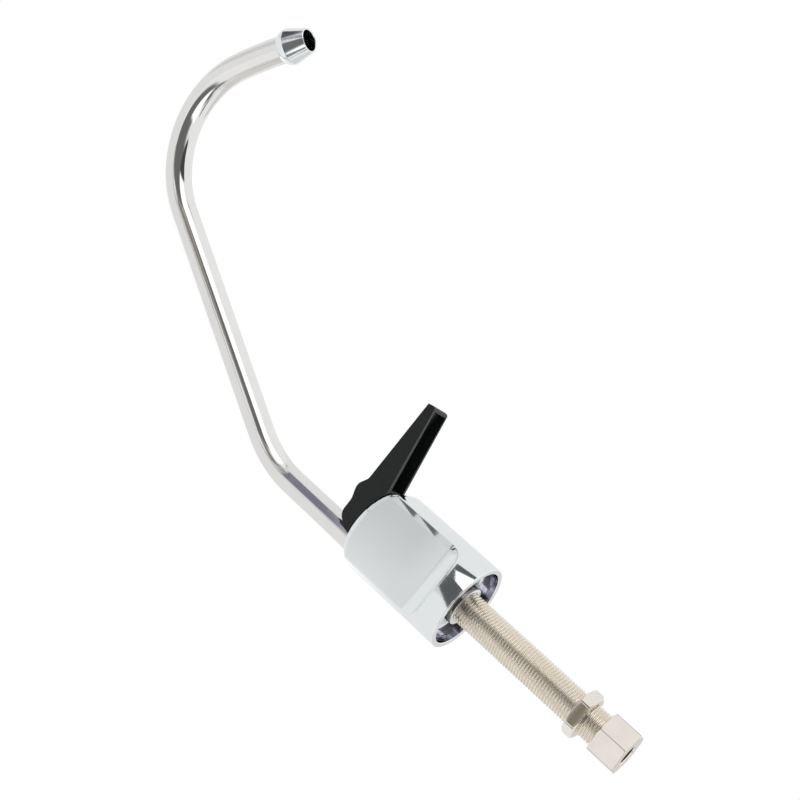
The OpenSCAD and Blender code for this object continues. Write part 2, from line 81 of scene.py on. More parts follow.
def length(name, description, default):
    """Length property with its default in millimetres"""
    return FloatProperty(name=name, description=description, default=default * MM, unit="LENGTH",
                         subtype="DISTANCE", precision=5)


def angle(name, description, default):
    """Angle property with its default in degrees"""
    return FloatProperty(name=name, description=description, default=math.radians(default),
                         subtype="ANGLE")


def ratio(name, description, default):
    return FloatProperty(name=name, description=description, default=default)


def count(name, description, default):
    return IntProperty(name=name, description=description, default=default)


def colour(name, description, default):
    return FloatVectorProperty(name=name, description=description, default=default,
                               size=3, min=0, max=1, subtype="COLOR")


class TapBodySizes(bpy.types.PropertyGroup):
    """Sizes of the body shell"""

    flat_half: length("Flat", "Half the distance between the side flats", 8.6)
    shoulder: length("Shoulder", "Height of the shoulder's outer edge", 7.6)
    slope: angle("Slope", "Fall of the shoulder", 18)
    cove: length("Cove", "Reach of the cove at the foot of a flat", 4.3)
    crown_radius: length("Crown", "Radius of the domed top", 27.7)
    crown_back: length("Crown back", "Crown's centre behind the axis", 1.6)
    edge_radius: length("Edge", "Radius of the ball that rounds the top", 17.05)
    edge_drop: length("Edge drop", "Edge ball's centre below the top", 15.8)
    edge_back: length("Edge back", "Edge ball's centre behind the axis", 0.3)
    edge_spread: ratio("Edge spread", "Sideways stretch of the edge ball", 1.6)
    soft: length("Edge break", "Softening of the polished edges", 0.25)
    buffed: length("Buffed edge", "Width of the strip rolled over on a flat's front edge", 2.1)
    buffed_lean: angle("Buffed lean", "Lean of the rolled strip at the edge", 21)
    wall: length("Skirt", "Thickness of the skirt at the base", 1.8)
    hollow: length("Hollow", "Depth of the hollow base", 6.0)


class TapSpoutSizes(bpy.types.PropertyGroup):
    """Sizes of the bent spout and its nozzle"""

    back: length("Back", "Spout's axis behind the body's axis", 8.65)
    swing: angle("Swing", "Turn of the spout from straight ahead", -14)
    riser: length("Riser", "Height where the spout starts to lean", 76)
    lower_bend: angle("Lower bend", "Angle of the lower bend", 30)
    lower_radius: length("Lower radius", "Centre line radius of the lower bend", 43)
    middle: length("Middle", "Straight length between the bends", 87.4)
    upper_bend: angle("Upper bend", "Angle of the upper bend", 101)
    upper_radius: length("Upper radius", "Centre line radius of the upper bend", 36.2)
    tail_bend: angle("Tail bend", "Slight curve behind the nozzle", 5.6)
    tail: length("Tail", "Length of the slight curve", 17.5)
    end: length("End", "Straight length to the outlet's face", 13.2)
    radius: length("Tube", "Outside radius of the tube", 4.7625)
    wall: length("Wall", "Wall of the tube", 0.9)
    lip: length("Lip", "Outlet's depth in front of the tube's end", 6)
    nozzle: length("Nozzle", "Widest radius of the nozzle", 6.25)
    nozzle_end: length("Nozzle end", "Radius of the outlet's face", 4.3)
    outlet: length("Outlet", "Radius of the outlet", 3.65)
    cone: length("Cone", "Length of the nozzle's cone", 7.6)
    shoulder: length("Shoulder", "Radius of the nozzle's rounded shoulder", 5)


class TapLeverSizes(bpy.types.PropertyGroup):
    """Sizes of the lever"""

    heel_half: length("Heel", "Half the lever's width at its heel", 6.4)
    tip_half: length("Tip", "Half the lever's width at its tip", 5.9)
    reach: length("Reach", "Nose of the tip in front of the body's axis", 42.9)
    arm_top: length("Arm top", "Height of the arm's top", 52.2)
    tip_thick: length("Tip thickness", "Thickness of the tip", 3.2)
    rock_height: length("Rocking edge", "Height of the rocking edge", 43.5)
    rock_front: length("Rocking front", "Rocking edge in front of the axis", 11.5)
    bump_front: length("Bump", "Finger bump in front of the axis", 6.9)
    bump_rise: length("Bump rise", "Rise of the finger bump", 1.8)
    bump_front_run: length("Bump front", "Run of the bump's front slope", 4.7)
    bump_back_run: length("Bump back", "Run of the bump's back slope", 5.6)
    heel_rise: length("Heel rise", "Rise of the heel's top above the arm", 0.4)
    heel_back: length("Heel back", "Heel behind the body's axis, at the bottom", 7.9)
    heel_top: length("Heel top", "Heel behind the body's axis, at the top", 5.6)
    heel_round: length("Heel corner", "Radius of the heel's upper corner", 4.0)
    tip_slant: length("Tip slant", "Set-back of the tip's top edge behind its nose", 0.4)
    nose_round: length("Nose", "Radius of the tip's lower corner", 1.2)
    edge: length("Edge", "Radius of the moulded edges", 0.25)
    corner: length("Corner", "Radius of the tip's corners, seen from above", 0.5)
    wall: length("Wall", "Side and tip walls round the hollow underside", 1.0)
    roof: length("Roof", "Thickness over the hollow underside", 1.2)
    hollow_stop: length("Hollow stop", "End of the hollow before the rocking edge", 1.0)


class TapShankSizes(bpy.types.PropertyGroup):
    """Sizes of the threaded shank and the nuts"""

    crest: length("Crest", "Radius over the thread's crests", 5.555)
    root: length("Root", "Radius at the thread's root", 5.055)
    flat: ratio("Flat", "Share of the pitch that each crest and root takes", 0.25)
    pitch: length("Pitch", "Pitch of the thread, 24 turns to the inch", 1.0583)
    columns: count("Columns", "Steps round the thread", 56)
    rows: count("Rows", "Steps along one turn of the thread", 8)


class TapFinishes(bpy.types.PropertyGroup):
    """Colours of the finishes"""

    body_chrome: colour("Body chrome", "Plated body", (0.91, 0.94, 0.945))
    # Painted shade of the hollow base, and the brighter streaks in it
    hollow: colour("Hollow", "Thin plate in the hollow base", (0.5, 0.51, 0.56))
    hollow_shade_streak: colour("Hollow streaks", "Brighter plate in the hollow base", (0.9, 0.9, 0.95))
    collar_face: colour("Collar face", "Plated lower face of the collar", (0.88, 0.92, 0.92))
    # Painted shade on the collar's side, which sits in the hollow base
    collar_side_painted_shade: colour("Collar side", "Thin plate on the collar's side", (0.24, 0.235, 0.23))
    spout_chrome: colour("Spout chrome", "Plated tube", (0.86, 0.855, 0.84))
    nickel: colour("Nickel", "Plated nuts", (0.86, 0.81, 0.75))
    # Painted dark reflection along the nuts' corners
    nickel_corner_painted_reflection: colour("Nickel corners", "Tarnished corners of the nuts", (0.3, 0.28, 0.26))
    thread: colour("Thread", "Plated shank", (0.95, 0.885, 0.78))
    # Painted shade in the thread's roots
    thread_root_painted_shade: colour("Thread root", "Duller plate in the root", (0.855, 0.7965, 0.702))
    black: colour("Black", "Moulded lever", (0.0066, 0.0084, 0.0078))
    # Painted highlight along the lever's lower edges
    black_edge_painted_highlight: colour("Worn black", "Handled edges of the lever", (0.12, 0.126, 0.124))
    brass: colour("Brass", "Turned inner pieces", (0.78, 0.60, 0.30))
    steel: colour("Steel", "Spring, pin, screw and clip", (0.60, 0.61, 0.63))
    rubber: colour("Rubber", "Seals and seat washer", (0.03, 0.03, 0.033))
    white: colour("White", "Moulded guide", (0.80, 0.80, 0.77))
    floor: colour("Floor", "Studio floor", (0.86, 0.86, 0.86))


GROUPS = {
    "tap_body": TapBodySizes,
    "tap_spout": TapSpoutSizes,
    "tap_lever": TapLeverSizes,
    "tap_shank": TapShankSizes,
    "tap_finish": TapFinishes,
}


# Node helpers


class Tree:
    """Short way to add and link nodes in one tree"""

    def __init__(self, tree):
        self.tree = tree

    def add(self, kind, inputs=(), **settings):
        node = self.tree.nodes.new(kind)
        for key, value in settings.items():
            setattr(node, key, value)
        for key, value in dict(inputs).items():
            if isinstance(value, bpy.types.NodeSocket):
                self.tree.links.new(value, node.inputs[key])
            else:
                node.inputs[key].default_value = value
        return node

    def math(self, operation, *values):
        return self.add("ShaderNodeMath", enumerate(values), operation=operation).outputs[0]

    def product(self, first, *others):
        for value in others:
            first = self.math("MULTIPLY", first, value)
        return first

    def split(self, vector):
        return self.add("ShaderNodeSeparateXYZ", {"Vector": vector}).outputs

    def blend(self, share, level, tone):
        return self.add("ShaderNodeMix", {0: share, 2: level, 3: tone}).outputs[0]

    def tint(self, share, under, over):
        """Colour that goes from one below to another"""
        if not isinstance(over, bpy.types.NodeSocket):
            over = (*over, 1)
        return self.add("ShaderNodeMix", {"Factor": share, "A": under, "B": over},
                        data_type="RGBA", clamp_result=False).outputs["Result"]

    def stops(self, value, ends):
        """Colour between two (position, colour) ends"""
        ramp = self.add("ShaderNodeValToRGB", {"Fac": value})
        for stop, (at, tint) in zip(ramp.color_ramp.elements, ends):
            stop.position = at
            stop.color = (*tint, 1)
        return ramp.outputs["Color"]

    def noise(self, place, scale, detail):
        inputs = {"Vector": place, "Scale": scale, "Detail": detail}
        return self.add("ShaderNodeTexNoise", inputs).outputs["Fac"]

    def attribute(self, name):
        return self.add("ShaderNodeAttribute", attribute_name=name).outputs["Fac"]

    def ramp(self, value, low, high, at_low=0.0, at_high=1.0, kind="SMOOTHSTEP"):
        """Step between two levels, smooth or straight"""
        return self.add("ShaderNodeMapRange", enumerate((value, low, high, at_low, at_high)),
                        interpolation_type=kind).outputs[0]

    def window(self, value, start, full, fade, end):
        """1 between full and fade, 0 before start and after end"""
        return self.product(self.ramp(value, start, full), self.ramp(value, fade, end, 1.0, 0.0))

    def band(self, value, centre, half, soft):
        """1 within half of centre, falling to 0 over a soft edge"""
        away = self.math("ABSOLUTE", self.math("SUBTRACT", value, centre))
        return self.ramp(away, half - soft, half + soft, 1.0, 0.0)

    def slant(self, turn, share, start, rate):
        """1 past an edge that starts at an angle and leans with the share of the height"""
        edge = self.math("ADD", start, self.math("MULTIPLY", share, rate))
        return self.ramp(self.math("SUBTRACT", turn, edge), -1.0, 1.0)

    def between(self, turn, share, first, last):
        """1 between two slanted edges, each with its start and rate"""
        past = self.math("SUBTRACT", 1.0, self.slant(turn, share, *last))
        return self.product(self.slant(turn, share, *first), past)


def geometry_tree(name, output, **inputs):
    """New geometry tree with its named inputs and output"""
    tree = bpy.data.node_groups.new(name, "GeometryNodeTree")
    for key, kind in inputs.items():
        tree.interface.new_socket(key, in_out="INPUT", socket_type="NodeSocket" + kind)
    tree.interface.new_socket(output, in_out="OUTPUT", socket_type="NodeSocketGeometry")
    t = Tree(tree)
    return t, t.add("NodeGroupInput").outputs


def end_tree(t, output, geometry, material):
    """Ends a geometry tree with realized instances and the piece's finish"""
    whole = t.add("GeometryNodeRealizeInstances", {"Geometry": geometry}).outputs[0]
    done = t.add("GeometryNodeSetMaterial", {"Geometry": whole, "Material": material}).outputs[0]
    t.add("NodeGroupOutput", {output: done})
    return t.tree


# Finishes: metallic, colour, noise scale, spread of the tint, roughness and its spread, bump,
# and for some an attribute and the colour that it brings in
FINISHES = {
    "body_chrome": (1.0, "body_chrome", 60, 0.012, 0.025, 0.01, 0.006),
    "nozzle_chrome": (1.0, "body_chrome", 90, 0.012, 0.13, 0.02, 0.01),
    "spout_chrome": (1.0, "spout_chrome", 90, 0.015, 0.085, 0.02, 0.015),
    # The collar's side is painted shade; its lower face keeps the plated colour
    "collar_plate": (1.0, "collar_side_painted_shade", 200, 0.05, 0.14, 0.04, 0.03, "lower_face", "collar_face"),
    # Painted dark reflection along the nuts' corners
    "nickel_plate": (1.0, "nickel", 220, 0.03, 0.07, 0.02, 0.02, "corner", "nickel_corner_painted_reflection"),
    # Painted shade in the thread's roots
    "nickel_thread": (1.0, "thread", 260, 0.04, 0.31, 0.05, 0.06, "thread_depth", "thread_root_painted_shade"),
    # Painted highlight along the lever's lower edges
    "moulded_black": (0.0, "black", 900, 0.2, 0.44, 0.06, 0.25, "edge_wear", "black_edge_painted_highlight"),
    "inner_brass": (1.0, "brass", 300, 0.05, 0.26, 0.05, 0.08),
    "inner_steel": (1.0, "steel", 400, 0.05, 0.24, 0.05, 0.06),
    "inner_rubber": (0.0, "rubber", 700, 0.05, 0.62, 0.05, 0.2),
    "inner_white": (0.0, "white", 500, 0.05, 0.42, 0.05, 0.08),
    "studio_floor": (0.0, "floor", 3, 0.01, 0.7, 0.05, 0),
}
FINE_NOISE = 9
BUMP_HEIGHT = 0.1 * MM
MOULDED_SHINE = 0.42
HOLLOW_ROUGHNESS = 0.1


def shader_inputs(mat):
    return next(n for n in mat.node_tree.nodes if n.type == "BSDF_PRINCIPLED").inputs


def finish(name):
    """Finish by its name, made once: uneven tint, roughness and a fine bump in object space"""
    mat = bpy.data.materials.get(name)
    if mat:
        return mat
    metallic, hue, scale, uneven, rough, rough_spread, bump, *over = FINISHES[name]
    look = bpy.context.scene.tap_finish
    tint = getattr(look, hue)
    mat = bpy.data.materials.new(name)
    mat.use_nodes = True
    mat.diffuse_color = (0.5, 0.5, 0.5, 1)
    t, shader = Tree(mat.node_tree), shader_inputs(mat)
    link = t.tree.links.new
    shader["Metallic"].default_value = metallic
    place = t.add("ShaderNodeTexCoord").outputs["Object"]
    broad, fine = t.noise(place, scale, 5.0), t.noise(place, scale * FINE_NOISE, 3.0)
    shade = t.stops(broad, ((0.3, [c * (1 - uneven) for c in tint]),
                            (0.7, [min(1, c * (1 + uneven)) for c in tint])))
    if over:
        shade = t.tint(t.attribute(over[0]), shade, getattr(look, over[1]))
    link(shade, shader["Base Color"])
    polish = t.ramp(fine, 0.0, 1.0, rough - rough_spread, rough + rough_spread, "LINEAR")
    link(polish, shader["Roughness"])
    if bump:
        raised = t.add("ShaderNodeBump", {"Height": fine, "Strength": bump, "Distance": BUMP_HEIGHT})
        link(raised.outputs["Normal"], shader["Normal"])
    return mat


def plated_body():
    """Bright chrome outside, painted shade with brighter streaks in the hollow base"""
    mat = finish("body_chrome")
    look = bpy.context.scene.tap_finish
    t, shader = Tree(mat.node_tree), shader_inputs(mat)
    bright, polish = (shader[key].links[0].from_socket for key in ("Base Color", "Roughness"))
    coords = t.add("ShaderNodeTexCoord").outputs["Object"]
    drawn = t.add("ShaderNodeMapping", {"Vector": coords, "Scale": (1, 1, 0.35)}).outputs[0]
    # Painted shade of the hollow base, broken by brighter noise streaks
    hollow_shade = t.stops(t.noise(drawn, 70.0, 2.0), ((0.42, look.hollow), (0.62, look.hollow_shade_streak)))
    depth = t.attribute("hollow")
    t.tree.links.new(t.tint(depth, bright, hollow_shade), shader["Base Color"])
    t.tree.links.new(t.blend(depth, polish, HOLLOW_ROUGHNESS), shader["Roughness"])
    return mat


def moulded_black():
    """Satin black moulding, with a painted highlight along its lower edges"""
    mat = finish("moulded_black")
    shader_inputs(mat)["Specular IOR Level"].default_value = MOULDED_SHINE
    return mat


# Mesh helpers


def in_scene(name, data):
    """New object at the origin"""
    obj = bpy.data.objects.new(name, data)
    bpy.context.scene.collection.objects.link(obj)
    return obj


def outward(mesh, edit=None):
    """Turns a mesh's faces outwards, after an edit where one is given"""
    bm = bmesh.new()
    bm.from_mesh(mesh)
    if edit:
        edit(bm)
    bmesh.ops.recalc_face_normals(bm, faces=bm.faces)
    bm.to_mesh(mesh)
    bm.free()


def new_piece(name, verts, faces, material, sharp=SHARP):
    """Mesh object at the origin with smooth faces and its hard edges marked"""
    mesh = bpy.data.meshes.new(name)
    mesh.from_pydata([tuple(v) for v in verts], [], faces)
    mesh.validate()
    outward(mesh)
    mesh.materials.append(material)
    smooth(mesh, sharp)
    return in_scene(name, mesh)


def smooth(mesh, sharp):
    mesh.polygons.foreach_set("use_smooth", [True] * len(mesh.polygons))
    mesh.set_sharp_from_angle(angle=sharp)


def mark(obj, name, values):
    """Stores one value for each point, for the piece's finish"""
    obj.data.attributes.new(name, "FLOAT", "POINT").data.foreach_set("value", values)


def ring_faces(columns, rows):
    """Quads of a skin that closes both round its columns and along its rows"""
    return [(i * rows + j, ((i + 1) % columns) * rows + j,
             ((i + 1) % columns) * rows + (j + 1) % rows, i * rows + (j + 1) % rows)
            for i in range(columns) for j in range(rows)]


def turns(steps):
    """Angles of even steps round a full turn"""
    return [2 * math.pi * i / steps for i in range(steps)]


def ring_point(r, a, z):
    """Point at a radius, angle and height"""
    return r * math.cos(a), r * math.sin(a), z


def turned(name, profile, steps, material, place=Matrix.Identity(4), sharp=math.radians(50)):
    """Closed profile of (radius, height) points turned round Z, then placed"""
    verts = [place @ Vector(ring_point(r, a, z)) for a in turns(steps) for r, z in profile]
    return new_piece(name, verts, ring_faces(steps, len(profile)), material, sharp)


def arc(cr, cz, radius, start, end, steps):
    """Points of an arc in a profile, angles in degrees"""
    return [(cr + radius * math.cos(a), cz + radius * math.sin(a))
            for a in np.radians(np.linspace(start, end, steps))]


def half_width(node):
    low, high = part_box(node)
    return (high.x - low.x) / 2


def modify(obj, kind, **settings):
    """Adds a modifier with its settings"""
    modifier = obj.modifiers.new("step", kind)
    for key, value in settings.items():
        setattr(modifier, key, value)
    return modifier


def plain_mesh(obj):
    """Applies the object's modifiers and leaves a plain mesh"""
    bpy.context.view_layer.update()
    graph = bpy.context.evaluated_depsgraph_get()
    done = obj.evaluated_get(graph)
    mesh = bpy.data.meshes.new_from_object(done, preserve_all_data_layers=True, depsgraph=graph)
    if not mesh.polygons:
        raise RuntimeError(obj.name + " came out without faces")
    obj.modifiers.clear()
    obj.data = mesh
    mesh.name = obj.name


def cut(obj, *tools):
    """Takes the tools' solids out of obj and removes them"""
    for tool in tools:
        modify(obj, "BOOLEAN", operation="DIFFERENCE", solver="EXACT", object=tool)
    plain_mesh(obj)
    for tool in tools:
        bpy.data.objects.remove(tool)


def cylinder_tool(radius, low, high, place=Matrix.Identity(4), steps=96):
    verts = [place @ Vector(ring_point(radius, a, z)) for z in (low, high) for a in turns(steps)]
    faces = [tuple(range(steps)), tuple(range(steps, 2 * steps))]
    faces += [(i, (i + 1) % steps, (i + 1) % steps + steps, i + steps) for i in range(steps)]
    return new_piece("tool", verts, faces, moulded_black())


def ball_tool(radius, centre):
    mesh = bpy.data.meshes.new("tool")
    ball = {"u_segments": 160, "v_segments": 120, "radius": radius, "matrix": Matrix.Translation(centre)}
    outward(mesh, lambda bm: bmesh.ops.create_uvsphere(bm, **ball))
    return in_scene("tool", mesh)


def box_tool(low, high):
    corners = [(x, y, z) for x in (low[0], high[0]) for y in (low[1], high[1]) for z in (low[2], high[2])]
    faces = [(0, 1, 3, 2), (4, 6, 7, 5), (0, 4, 5, 1), (2, 3, 7, 6), (0, 2, 6, 4), (1, 5, 7, 3)]
    return new_piece("tool", corners, faces, moulded_black())


def weigh_normals(obj):
    """Keeps flat faces flat beside their rounded edges"""
    modify(obj, "WEIGHTED_NORMAL", keep_sharp=True, weight=60)
    plain_mesh(obj)


def run_tree(obj, tree, **values):
    """Runs a tree on obj with its named inputs and leaves a plain mesh"""
    modifier = modify(obj, "NODES", node_group=tree)
    for item in tree.interface.items_tree:
        if item.in_out == "INPUT" and item.name in values:
            modifier[item.identifier] = values[item.name]
    obj.update_tag()
    plain_mesh(obj)


def take_over(obj, body, slot, *nodes):
    """The piece rides on its body and stands for its CAD nodes"""
    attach(obj, body)
    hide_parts(*nodes)


# Body


def soft_max(a, b, k):
    h = np.maximum(k - np.abs(a - b), 0) / k
    return np.maximum(a, b) + h * h * k / 4


def soft_min(a, b, k):
    return -soft_max(-a, -b, k)


def body_field(p, size, radius, top):
    """Below 0 inside the polished casting, with softened edges"""
    x, y, z = p
    side = np.sqrt(x * x + y * y) - radius
    crown_z = top - size.crown_radius
    crown = np.sqrt(x * x + (y - size.crown_back) ** 2 + (z - crown_z) ** 2) - size.crown_radius
    up = np.maximum(z - (top - size.edge_drop), 0)
    edge = np.sqrt((x / size.edge_spread) ** 2 + (y - size.edge_back) ** 2 + up * up) - size.edge_radius
    strip = np.clip(-y - math.sqrt(radius ** 2 - size.flat_half ** 2) + size.buffed, 0, size.buffed)
    flat = np.abs(x) - size.flat_half + strip ** 2 * math.tan(size.buffed_lean) / (2 * size.buffed)
    fall = math.tan(size.slope)
    ledge = (z - size.shoulder - (radius - np.abs(x)) * fall) * math.cos(size.slope)
    panel = soft_min(flat, ledge, size.cove)
    return soft_max(soft_max(side, panel, size.soft), soft_max(crown, edge, 3 * size.soft), size.soft)


def spread(a, b, steps):
    """Steps from a towards b, closer together near both ends"""
    t = np.arange(steps) / steps
    t = t - 0.8 * np.sin(2 * math.pi * t) / (2 * math.pi)
    return a + (b - a) * t


def body_columns(size, radius):
    """Polar angles round the body, closer together at the corners of the flats"""
    corner = math.acos(size.flat_half / radius)
    even_steps = 180
    near = np.radians([0.3, 0.7, 1.2, 1.9, 2.8, 4.0, 5.5])
    marks = [m * math.pi + s * corner for m in (0, 1) for s in (1, -1)]
    angles = set(np.linspace(0, 2 * math.pi, even_steps, endpoint=False).round(6))
    for m in marks:
        angles -= {a for a in angles if abs((a - m + math.pi) % (2 * math.pi) - math.pi) < near[-1]}
        angles |= {round((m + s) % (2 * math.pi), 6) for s in (*near, 0, *-near)}
    return sorted(angles)


def body_shell(size, radius, top, bore):
    """Rows of points on the outside, found by looking out from a point low on the axis"""
    eye = 4.5 * MM
    crest = top - 7.5 * MM
    bore_edge = bore + 0.15 * MM
    rows = {"skirt": 14, "cove": 34, "flat": 70, "dome": 46}
    halvings = 40
    fall = math.tan(size.slope)
    foot = size.shoulder + (radius - size.flat_half) * fall
    columns = []
    for a in body_columns(size, radius):
        c, s = math.cos(a), math.sin(a)
        flat_r = min(radius, size.flat_half / max(abs(c), 1e-6))
        rim = min(size.shoulder + radius * (1 - abs(c)) * fall, foot)
        rim += max(0, size.cove - (radius * abs(c) - size.flat_half)) ** 2 / size.cove * 0.25
        rim = min(rim, foot + 0.2 * size.cove)
        keys = [math.atan2(z - eye, r) for r, z in (
            (radius, RIM_ROUND), (radius, rim), (flat_r, foot + 0.8 * size.cove), (flat_r, crest),
            (bore_edge, top))]
        look = np.concatenate([spread(*keys[i:i + 2], n) for i, n in enumerate(rows.values())] + [keys[4:]])
        d = np.array([np.cos(look) * c, np.cos(look) * s, np.sin(look)])
        near, far = np.zeros_like(look), np.full_like(look, 2 * top)
        for _ in range(halvings):
            mid = (near + far) / 2
            inside = body_field([d[0] * mid, d[1] * mid, d[2] * mid + eye], size, radius, top) < 0
            near, far = np.where(inside, mid, near), np.where(inside, far, mid)
        columns.append((a, [(math.hypot(d[0][i], d[1][i]) * near[i], d[2][i] * near[i] + eye)
                            for i in range(len(look))]))
    return columns


class TAP_OT_body(bpy.types.Operator):
    """Polished body: side flats, cove, shoulder, domed top, hollow base and bores"""

    bl_idname = "tap.body"
    bl_label = "Body"

    def execute(self, context):
        size, spout = context.scene.tap_body, context.scene.tap_spout
        radius, top = half_width("body"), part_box("body")[1].z
        shank_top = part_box("shank")[1].z
        guide_low, guide_high = (corner.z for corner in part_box("stem_guide"))
        guide_r, chamber_r = half_width("stem_guide"), half_width("valve_seat")
        thread_r = context.scene.tap_shank.crest + PLAY
        stem_r, pocket_r = 1.56 * MM, 2.9 * MM
        pocket_top = guide_high + 1.5 * MM
        hollow_r = radius - size.wall
        corner, lip = 0.8 * MM, 0.3 * MM
        inner = [(stem_r, pocket_top), (pocket_r, pocket_top), (pocket_r, guide_high),
                 (guide_r, guide_high), (guide_r, guide_low), (chamber_r, guide_low),
                 (chamber_r, shank_top), (thread_r, shank_top), (thread_r, size.hollow),
                 (hollow_r - corner, size.hollow)]
        inner += arc(hollow_r - corner, size.hollow - corner, corner, 75, 0, 6)
        inner += arc(hollow_r + lip, lip, lip, 180, 270, 5)
        inner += arc(radius - RIM_ROUND, RIM_ROUND, RIM_ROUND, 270, 345, 5)
        columns = body_shell(size, radius, top, stem_r)
        verts, inside = [], []
        for a, outside in columns:
            verts += [ring_point(r, a, z) for r, z in outside + inner]
            inside += [0.0] * len(outside)
            inside += [1.0 if r < hollow_r + 0.01 * MM else 0.0 for r, z in inner]
        rows = len(columns[0][1]) + len(inner)
        obj = new_piece("body_casting", verts, ring_faces(len(columns), rows), plated_body())
        # Marks the hollow base, where the body's finish paints shade
        mark(obj, "hollow", inside)
        socket_r, socket_floor = spout.radius + 0.06 * MM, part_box("spout_foot")[0].z - 0.24 * MM
        socket_place = Matrix.Translation((0, spout.back, 0))
        cut(obj, cylinder_tool(socket_r, socket_floor, top + 5 * MM, socket_place))
        smooth(obj.data, SHARP)
        take_over(obj, "tap_body", "chrome", "body")
        return {"FINISHED"}


# Spout


def spout_stations(size):
    """Bends of the spout's centre line as (start, radius, angle), and the outlet's frame"""
    at = Matrix.Translation((0, size.back, 0)) @ Matrix.Rotation(size.swing, 4, "Z")
    at = at @ Matrix.Translation((0, 0, size.riser))
    bends = []
    for radius, turn, straight in ((size.lower_radius, size.lower_bend, size.middle),
                                   (size.upper_radius, size.upper_bend, 0),
                                   (size.tail / size.tail_bend, size.tail_bend, size.end)):
        bends.append((at.copy(), radius, turn))
        at = at @ Matrix.Translation((0, -radius * (1 - math.cos(turn)), radius * math.sin(turn)))
        at = at @ Matrix.Rotation(turn, 4, "X") @ Matrix.Translation((0, 0, straight))
    return bends, at


def spout_path(size, low):
    """Points along the centre line, close together in the bends"""
    bends, outlet = spout_stations(size)
    points = [Vector((0, size.back, low))]
    for start, radius, turn in bends:
        steps = max(6, int(math.degrees(turn) / 2))
        for i in range(steps + 1):
            a = turn * i / steps
            p = start @ Vector((0, -radius * (1 - math.cos(a)), radius * math.sin(a)))
            if (p - points[-1]).length > 1e-6:
                points.append(p)
    points.append(outlet @ Vector((0, 0, -size.lip)))
    return points


def sweep_tree():
    """Geometry nodes: a tube of given wall swept along a path"""
    t, source = geometry_tree("swept_tube", "Tube", Path="Geometry", Radius="Float", Wall="Float",
                              Sides="Int", Finish="Material")
    curve = t.add("GeometryNodeMeshToCurve", {"Mesh": source["Path"]}).outputs[0]
    inner_r = t.math("SUBTRACT", source["Radius"], source["Wall"])
    skins = []
    for r in (source["Radius"], inner_r):
        ring = t.add("GeometryNodeCurvePrimitiveCircle", {"Radius": r, "Resolution": source["Sides"]})
        lines = {"Curve": curve, "Profile Curve": ring.outputs["Curve"]}
        skins.append(t.add("GeometryNodeCurveToMesh", lines).outputs[0])
    inside = t.add("GeometryNodeFlipFaces", {"Mesh": skins[1]}).outputs[0]
    both = t.add("GeometryNodeJoinGeometry")
    t.tree.links.new(skins[0], both.inputs[0])
    t.tree.links.new(inside, both.inputs[0])
    return end_tree(t, "Tube", both.outputs[0], source["Finish"])


def close_ends(bm):
    """Bridges the open ends of an outer and an inner skin"""
    bmesh.ops.remove_doubles(bm, verts=bm.verts, dist=1e-7)
    loose = {e for e in bm.edges if e.is_boundary}
    loops = []
    while loose:
        edge = loose.pop()
        loop, stack = {edge}, [edge]
        while stack:
            for e in [e for v in stack.pop().verts for e in v.link_edges]:
                if e in loose:
                    loose.discard(e)
                    loop.add(e)
                    stack.append(e)
        centre = sum((v.co for e in loop for v in e.verts), Vector()) / (2 * len(loop))
        loops.append((centre, loop))
    while loops:
        centre, loop = loops.pop()
        k = min(range(len(loops)), key=lambda i: (loops[i][0] - centre).length)
        bmesh.ops.bridge_loops(bm, edges=list(loop | loops.pop(k)[1]))


def nozzle_profile(size):
    """Outlet, rounded lips, cone and rounded shoulder, with the outlet's face at height 0"""
    wide, cone = size.nozzle, size.cone
    soft, lip, mouth, step = 0.5 * MM, 0.3 * MM, 1.2 * MM, 0.12 * MM
    lean = math.degrees(math.atan((wide - size.nozzle_end) / cone))
    hold = size.radius + PLAY
    shoulder_r = wide - size.shoulder
    rear = math.degrees(math.acos((hold + step - shoulder_r) / size.shoulder))
    profile = [(size.outlet, -size.lip), (size.outlet, -mouth)]
    profile += arc(size.outlet + lip, -lip, lip, 180, 95, 5)
    profile += arc(size.nozzle_end - lip, -lip, lip, 85, lean, 5)
    profile += [(wide - soft * math.tan(math.radians(lean)), soft - cone)]
    profile += arc(wide - soft, -cone, soft, lean, 0, 4)
    profile += arc(shoulder_r, -cone - 0.05 * MM, size.shoulder, -2, -rear, 16)
    return profile + [(hold, -cone - size.shoulder * math.sin(math.radians(rear)) + 0.1 * MM),
                      (hold, -size.lip + PLAY)]


class TAP_OT_spout(bpy.types.Operator):
    """Bent spout tube, swept along its centre line, and the turned nozzle on its end"""

    bl_idname = "tap.spout"
    bl_label = "Spout and nozzle"

    def execute(self, context):
        size = context.scene.tap_spout
        path = spout_path(size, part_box("spout_tube")[0].z)
        mesh = bpy.data.meshes.new("spout_bent_tube")
        mesh.from_pydata(path, [(i, i + 1) for i in range(len(path) - 1)], [])
        tube = in_scene("spout_bent_tube", mesh)
        run_tree(tube, sweep_tree(), Radius=size.radius, Wall=size.wall, Sides=64,
                 Finish=finish("spout_chrome"))
        outward(tube.data, close_ends)
        smooth(tube.data, math.radians(40))
        take_over(tube, "spout", "chrome", "spout_tube")
        nozzle = turned("nozzle_cone", nozzle_profile(size), 96, finish("nozzle_chrome"),
                        spout_stations(size)[1])
        take_over(nozzle, "spout", "chrome", "nozzle")
        return {"FINISHED"}


# Lever


